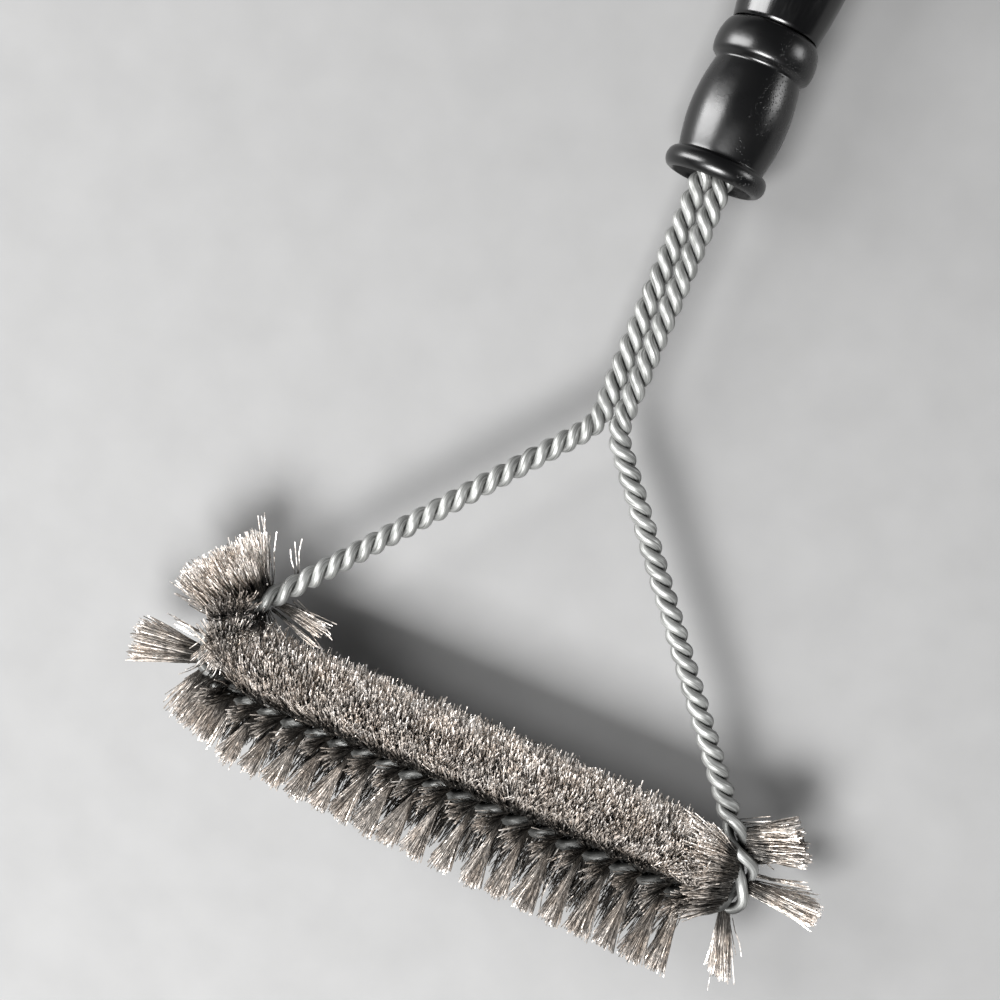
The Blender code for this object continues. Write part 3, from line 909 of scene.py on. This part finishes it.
def wall_outline(reach):
    """The eye wall's section from its hole out to reach, as (radius, offset, side) points."""
    outline = []
    for radius, side, start in (
        (reach, EYE_HALF_WIDTH, 0),
        (EYE_HOLE, EYE_HALF_WIDTH, 90),
        (EYE_HOLE, -EYE_HALF_WIDTH, 180),
        (reach, -EYE_HALF_WIDTH, 270),
    ):
        toward = -1 if radius == reach else 1
        middle = side - math.copysign(EYE_CORNER, side)
        for i in range(CORNER_STEPS + 1):
            turn = math.radians(start + 90 * i / CORNER_STEPS)
            out = EYE_CORNER * (toward + math.cos(turn))
            outline.append((radius, out, middle + EYE_CORNER * math.sin(turn)))
    return outline


def make_ring():
    """The hanging ring: a bent wire with a small weld where its ends meet."""
    centre = (RING_BOX[0] + RING_BOX[1]) / 2
    reach = np.linalg.norm(centre - HINGE)
    wire = (RING_BOX[1][0] - RING_BOX[0][0]) / 2 - reach
    away = (centre - HINGE) / reach
    across = np.array([1.0, 0.0, 0.0])
    angles = 2 * math.pi * np.arange(RING_STEPS) / RING_STEPS
    spokes = np.cos(angles)[:, None] * away + np.sin(angles)[:, None] * across
    weld = np.exp(-((np.minimum(angles, 2 * math.pi - angles) / WELD_ANGLE) ** 2))
    radii = wire * (1 + WELD_SWELL * weld)
    vertices, faces, _ = sweep(centre + reach * spokes, radii, RING_SIDES, closed=True)
    new_piece("ring", vertices, faces, RING_STEEL, ["hang_ring"], body="ring")


make_wire()
make_crossbar()
make_corners()
make_nose()
make_grip()
make_cap()
make_ring()

for node, material in (("handle_core", CORE_PLASTIC), ("stem_ferrule", FERRULE_STEEL)):
    for material_slot in frame["nodes"][node].material_slots:
        material_slot.material = material

# Floor, lights and camera


def make_floor():
    """Plain pale paper."""
    mesh = bpy.data.meshes.new("floor")
    corners = [(FLOOR_HALF * x, FLOOR_HALF * y, 0) for x, y in ((-1, -1), (1, -1), (1, 1), (-1, 1))]
    mesh.from_pydata(corners, [], [(0, 1, 2, 3)])
    material, shader, add, link = new_material("floor_paper")
    place = add("ShaderNodeTexCoord")
    fibre = add("ShaderNodeTexNoise", Scale=60.0, Detail=5.0)
    link(place.outputs["Object"], fibre.inputs["Vector"])
    greys = [(0.3, (0.15, 0.15, 0.149)), (0.7, (0.162, 0.162, 0.161))]
    tint = ramp(add, link, fibre.outputs["Fac"], greys)
    link(tint, shader.inputs["Base Color"])
    shader.inputs["Roughness"].default_value = 0.8
    mesh.materials.append(material)
    floor = bpy.data.objects.new("floor", mesh)
    bpy.context.scene.collection.objects.link(floor)


def make_light(name, place, target, width, height, power):
    """A rectangular softbox at its place, aimed at its target."""
    light = bpy.data.lights.new(name, "AREA")
    light.shape = "RECTANGLE"
    light.size, light.size_y = width, height
    light.energy = power
    lamp = bpy.data.objects.new(name, light)
    bpy.context.scene.collection.objects.link(lamp)
    place, target = LAYOUT @ Vector(place), LAYOUT @ Vector(target)
    lamp.location = place
    lamp.rotation_euler = (target - place).to_track_quat("-Z", "Y").to_euler()


def make_sky():
    """Weak, even light from all round, and colours shown as they are."""
    world = bpy.data.worlds.new("studio")
    bpy.context.scene.world = world
    world.use_nodes = True
    background = world.node_tree.nodes["Background"]
    background.inputs["Color"].default_value = SKY_COLOUR
    background.inputs["Strength"].default_value = SKY_STRENGTH
    bpy.context.scene.view_settings.view_transform = "Standard"


def make_camera():
    """The photograph's angle: nearly square to the head, with the stems leaning up to the right."""
    data = bpy.data.cameras.new("camera")
    data.sensor_width = 36.0
    data.lens = CAMERA_LENS
    data.clip_start = 0.01
    data.clip_end = 20.0
    camera = bpy.data.objects.new("camera", data)
    bpy.context.scene.collection.objects.link(camera)
    place = Vector(CAMERA_PLACE)
    ahead = (Vector(CAMERA_TARGET) - place).normalized()
    right = ahead.cross((-math.sin(CAMERA_ROLL), math.cos(CAMERA_ROLL), 0)).normalized()
    turn = Matrix((right, right.cross(ahead), -ahead)).transposed()
    turn = LAYOUT.to_quaternion().to_matrix() @ turn
    camera.matrix_world = Matrix.Translation(LAYOUT @ place) @ turn.to_4x4()
    bpy.context.scene.camera = camera


make_floor()
make_sky()
for settings in LIGHTS:
    make_light(*settings)
make_camera()
